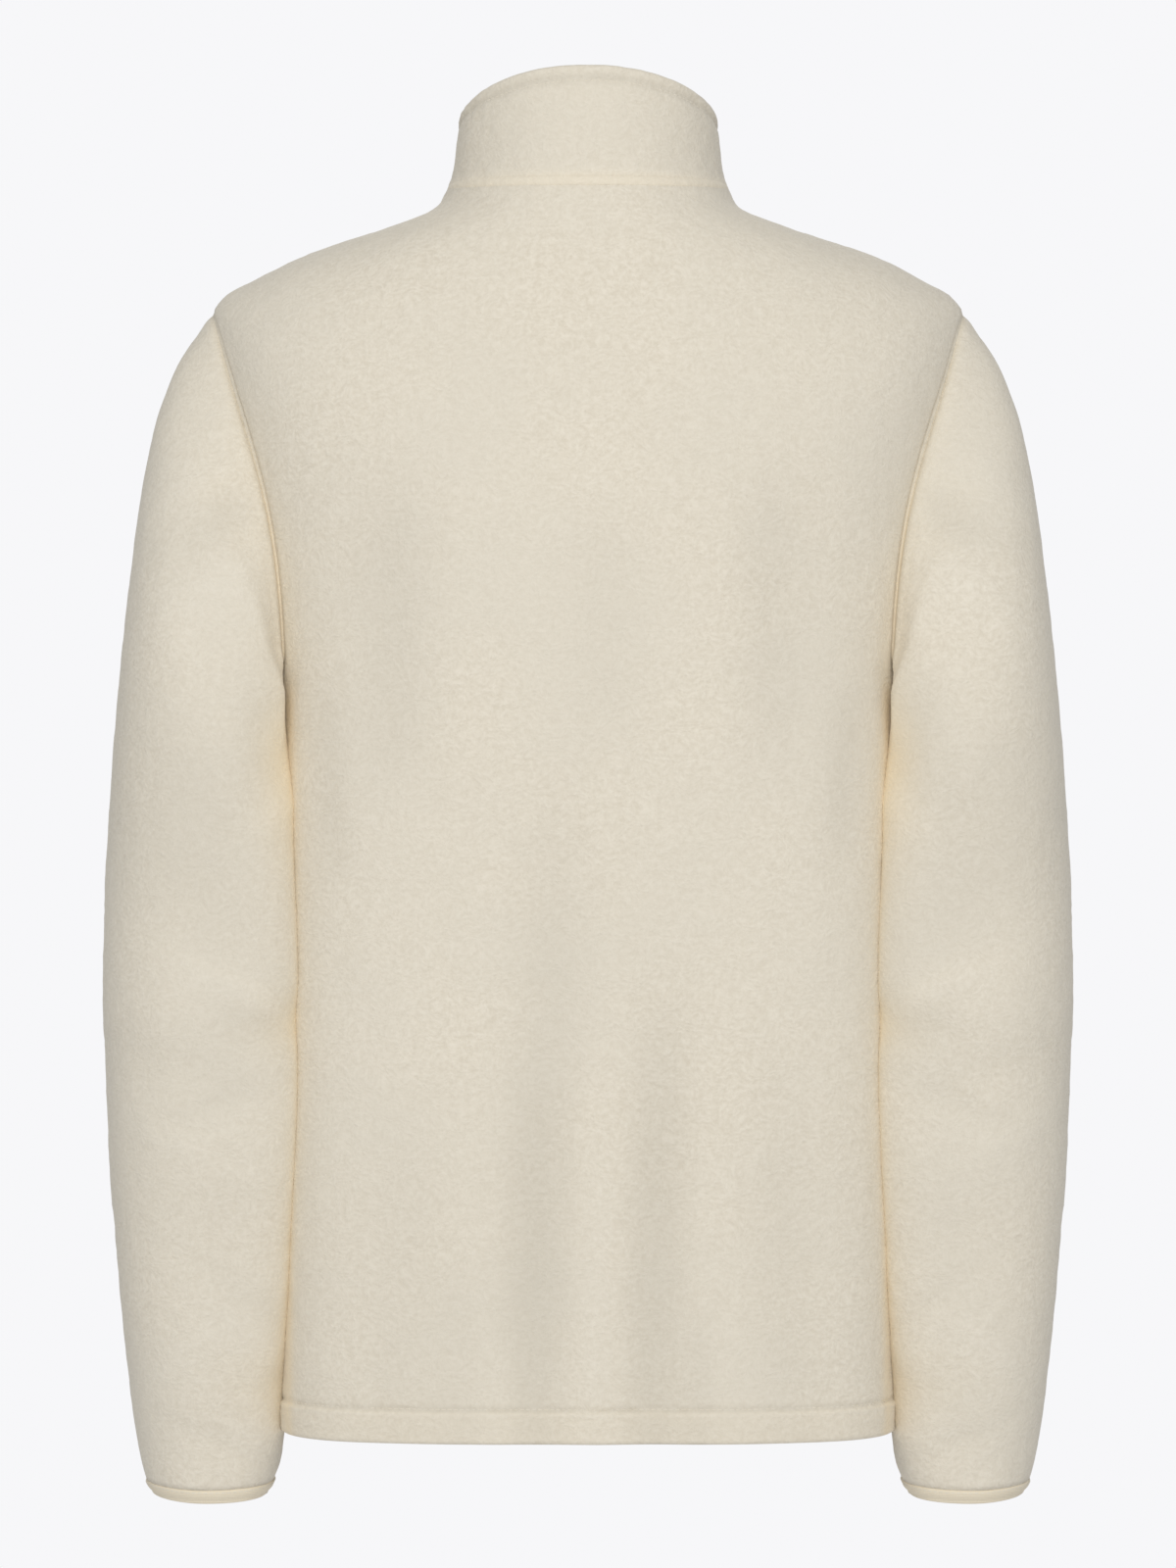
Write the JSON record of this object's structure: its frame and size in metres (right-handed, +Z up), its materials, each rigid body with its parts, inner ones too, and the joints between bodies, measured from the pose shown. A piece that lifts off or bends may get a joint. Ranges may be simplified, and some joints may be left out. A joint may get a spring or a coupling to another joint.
{
  "type": "fleece jacket",
  "caption": "Long-sleeved cream fleece jacket with a stand collar, full front zip, turned-up hem and bound cuffs, hollow and filled out as worn",
  "frame": {"origin": "on the centre line, at the height of the high points of the shoulders, where a wearer holds the jacket up", "axes": "+Z up the jacket, +Y out of its back, +X to the wearer's left; the zip faces -Y"},
  "size_m": [0.5382, 0.2394, 0.7931],
  "materials": {
    "fleece": "short brushed pile, cream",
    "binding": "warm cream elastic tape",
    "zip_tape": "woven tape, matt",
    "zip_coil": "satin coil",
    "zip_metal": "satin enamel"
  },
  "bodies": {
    "jacket": {"back": "fleece", "front_left": "fleece", "front_right": "fleece", "sleeve_left": "fleece", "sleeve_right": "fleece", "collar": "fleece", "cuff_binding_left": "binding", "cuff_binding_right": "binding", "zip_tape_left": "zip_tape", "zip_tape_right": "zip_tape", "zip_chain": "zip_coil", "zip_box": "zip_metal", "zip_slider": "zip_metal"},
    "zip_pull": {"zip_pull": "zip_metal"}
  },
  "joints": [
    {"name": "zip_pull_swing", "type": "hinge", "parent": "jacket", "child": "zip_pull", "pos_m": [0, -0.08042, -0.0035], "axis": [-1, 0, 0], "range_deg": [0, 150]}
  ]
}
